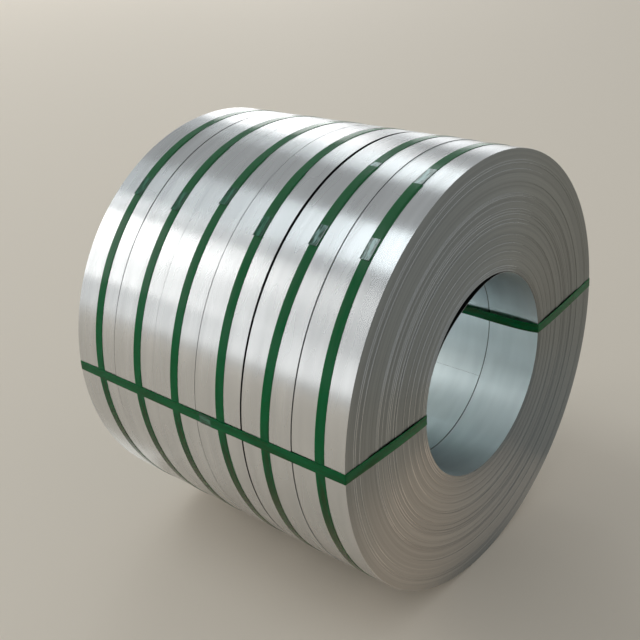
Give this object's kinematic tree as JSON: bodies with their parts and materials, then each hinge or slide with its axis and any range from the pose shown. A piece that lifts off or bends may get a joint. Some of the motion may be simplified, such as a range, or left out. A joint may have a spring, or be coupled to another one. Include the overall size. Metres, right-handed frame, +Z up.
{
  "type": "strapped pack of slit steel coils",
  "caption": "Bright cold-rolled steel strip in narrow slit coils, lying side by side on a common bore axis and held together with green plastic strapping.",
  "frame": {"origin": "on the floor under the middle of the pack, below the bore's axis", "axes": "+X along the bore, towards the open end seen in the picture; +Z up; -Y is the front of the pack, where one lengthwise strap runs"},
  "size_m": [0.866, 1.0789, 1.0759],
  "materials": {
    "steel_strip": "bright, cold rolled",
    "green_strapping": "gloss, lightly embossed"
  },
  "bodies": {
    "root": {"slit_coil_1": "steel_strip", "slit_coil_2": "steel_strip", "slit_coil_3": "steel_strip", "slit_coil_4": "steel_strip", "slit_coil_5": "steel_strip", "slit_coil_6": "steel_strip", "round_strap_1": "green_strapping", "round_strap_2": "green_strapping", "round_strap_3": "green_strapping", "round_strap_4": "green_strapping", "round_strap_5": "green_strapping", "round_strap_6": "green_strapping", "eye_strap_front": "green_strapping", "eye_strap_back": "green_strapping"}
  },
  "joints": []
}
